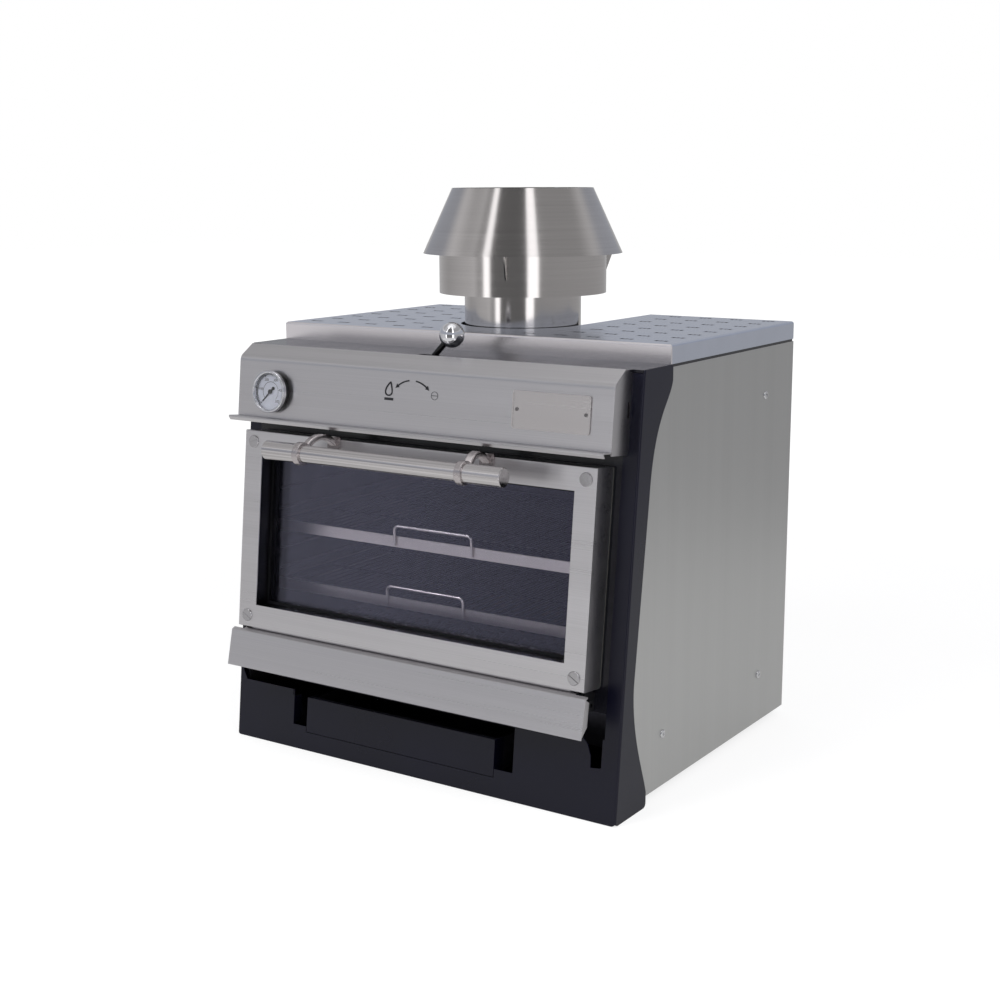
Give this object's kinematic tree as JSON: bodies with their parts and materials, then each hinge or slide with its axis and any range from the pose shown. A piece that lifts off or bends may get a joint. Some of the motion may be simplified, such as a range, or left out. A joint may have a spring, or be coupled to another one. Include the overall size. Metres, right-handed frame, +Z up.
{
  "type": "charcoal oven",
  "caption": "Countertop charcoal oven with a drop-down glass door, wire racks, ash drawer, damper lever, temperature gauge, perforated top cover and a flue with a hat.",
  "frame": {"origin": "on the floor under the middle of the bounding box", "axes": "+X to the right seen from the front, +Y to the back, +Z up"},
  "size_m": [0.7012, 0.6502, 0.866],
  "materials": {
    "black_paint": "semi-gloss",
    "brushed_steel_sheet": "brushed",
    "handle_grip_steel": "brushed",
    "screw_steel": "polished",
    "dark_bolt": "black oxide",
    "liner_steel": "heat darkened",
    "rack_wire": "satin",
    "grate_iron": "raw",
    "ceramic_wool": "matte",
    "seal_rope": "matte",
    "door_glass": "clear dark",
    "gauge_glass": "clear",
    "gauge_steel": "polished",
    "gauge_face": "satin",
    "needle_black": "satin",
    "ball_chrome": "polished",
    "lever_black": "gloss",
    "shaft_steel": "satin"
  },
  "bodies": {
    "oven_body": {"cheek_left": "black_paint", "cheek_right": "black_paint", "lower_fascia": "black_paint", "top_plate": "black_paint", "chamber_front_frame": "black_paint", "base_pan": "black_paint", "feet": "black_paint", "hinge_brackets": "black_paint", "drawer_runners": "black_paint", "damper_bearing": "black_paint", "control_panel": "brushed_steel_sheet", "visor_lip": "brushed_steel_sheet", "top_cover": "brushed_steel_sheet", "side_panel_left": "brushed_steel_sheet", "side_panel_right": "brushed_steel_sheet", "rear_panel": "brushed_steel_sheet", "flue_pipe": "brushed_steel_sheet", "name_plate": "brushed_steel_sheet", "panel_screws": "screw_steel", "name_plate_rivets": "screw_steel", "hinge_bolts": "dark_bolt", "chamber_liner": "liner_steel", "liner_roof": "liner_steel", "ash_hopper": "liner_steel", "rack_rails": "liner_steel", "grate_ledges": "liner_steel", "rack_upper": "rack_wire", "rack_lower": "rack_wire", "charcoal_grate": "grate_iron", "insulation": "ceramic_wool", "roof_insulation": "ceramic_wool", "gauge_lens": "gauge_glass", "gauge_case": "gauge_steel", "gauge_bezel": "gauge_steel", "gauge_probe": "gauge_steel", "gauge_dial": "gauge_face"},
    "door": {"door_shell": "brushed_steel_sheet", "door_glass_outer": "door_glass", "door_glass_inner": "door_glass", "door_glass_beads": "black_paint", "door_seal": "seal_rope", "door_screws": "screw_steel", "handle_tube": "brushed_steel_sheet", "handle_grip_left": "handle_grip_steel", "handle_grip_right": "handle_grip_steel", "handle_bracket_left": "brushed_steel_sheet", "handle_bracket_right": "brushed_steel_sheet", "hinge_arms": "black_paint", "apron": "brushed_steel_sheet"},
    "damper": {"damper_shaft": "shaft_steel", "damper_blade": "shaft_steel", "damper_lever": "lever_black", "damper_knob": "ball_chrome"},
    "ash_drawer": {"ash_drawer_front": "black_paint", "ash_drawer_tray": "liner_steel"},
    "needle": {"gauge_needle": "needle_black"},
    "hat": {"flue_hat": "brushed_steel_sheet", "hat_gussets": "brushed_steel_sheet", "flue_collar": "brushed_steel_sheet", "collar_spacers": "brushed_steel_sheet"}
  },
  "joints": [
    {"name": "door_hinge", "type": "hinge", "parent": "oven_body", "child": "door", "pos_m": [0, -0.2536, 0.17361], "axis": [1, 0, 0], "range_deg": [0, 95]},
    {"name": "damper_turn", "type": "hinge", "parent": "oven_body", "child": "damper", "pos_m": [-0.007, -0.17707, 0.618], "axis": [0, -1, 0], "range_deg": [0, 90]},
    {"name": "ash_drawer_slide", "type": "slide", "parent": "oven_body", "child": "ash_drawer", "axis": [0, -1, 0], "range_m": [0, 0.3]},
    {"name": "needle_turn", "type": "hinge", "parent": "oven_body", "child": "needle", "pos_m": [-0.262, -0.23117, 0.56246], "axis": [0, 0.9942, -0.108], "range_deg": [0, 255]},
    {"name": "hat_lift", "type": "slide", "parent": "oven_body", "child": "hat", "axis": [0, 0, 1], "range_m": [0, 0.12]}
  ]
}
